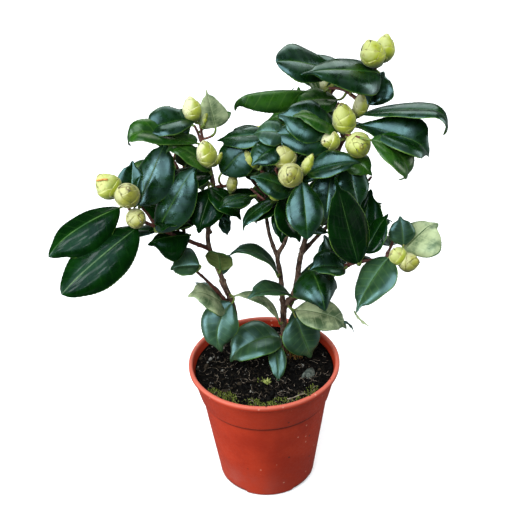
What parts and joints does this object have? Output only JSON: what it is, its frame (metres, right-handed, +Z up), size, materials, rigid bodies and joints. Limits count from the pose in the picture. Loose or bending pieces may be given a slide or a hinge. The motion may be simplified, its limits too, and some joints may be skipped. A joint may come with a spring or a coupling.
{
  "type": "potted camellia shrub",
  "caption": "small potted camellia shrub with two woody stems, separate masses of leathery leaves and fat flower buds, in a round tapered nursery pot with a deep collar",
  "frame": {"origin": "the centre of the pot's flat underside, where it stands on the floor or shelf", "axes": "+Z up through the pot; -Y is the front, the side the plant is seen from; +X is to the right from the front"},
  "size_m": [0.3025, 0.1766, 0.3984],
  "materials": {
    "pot_plastic": "satin",
    "soil": "matte",
    "bark": "matte",
    "young_bark": "satin",
    "foliage": "gloss",
    "aged_foliage": "satin"
  },
  "bodies": {
    "root": {"pot": "pot_plastic", "soil": "soil", "stem_left": "bark", "stem_right": "bark", "bough_middle": "bark", "bough_middle_back": "bark", "bough_right": "bark", "bough_back_left": "bark", "bough_back_right": "bark", "bough_back_top": "bark", "bough_left": "young_bark", "bough_left_side": "young_bark", "bough_low_right": "young_bark", "foliage_left": "foliage", "foliage_left_inner": "foliage", "foliage_upper_left": "foliage", "foliage_centre": "foliage", "foliage_top_right": "foliage", "foliage_top": "foliage", "foliage_right_top": "foliage", "foliage_right": "foliage", "foliage_far_right": "foliage", "foliage_back_left": "foliage", "foliage_back_centre": "foliage", "foliage_back_right": "foliage", "foliage_back_top": "foliage", "foliage_low_right": "aged_foliage", "foliage_low_left": "aged_foliage", "foliage_low_front": "aged_foliage", "foliage_middle": "aged_foliage", "foliage_left_side": "aged_foliage"}
  },
  "joints": []
}
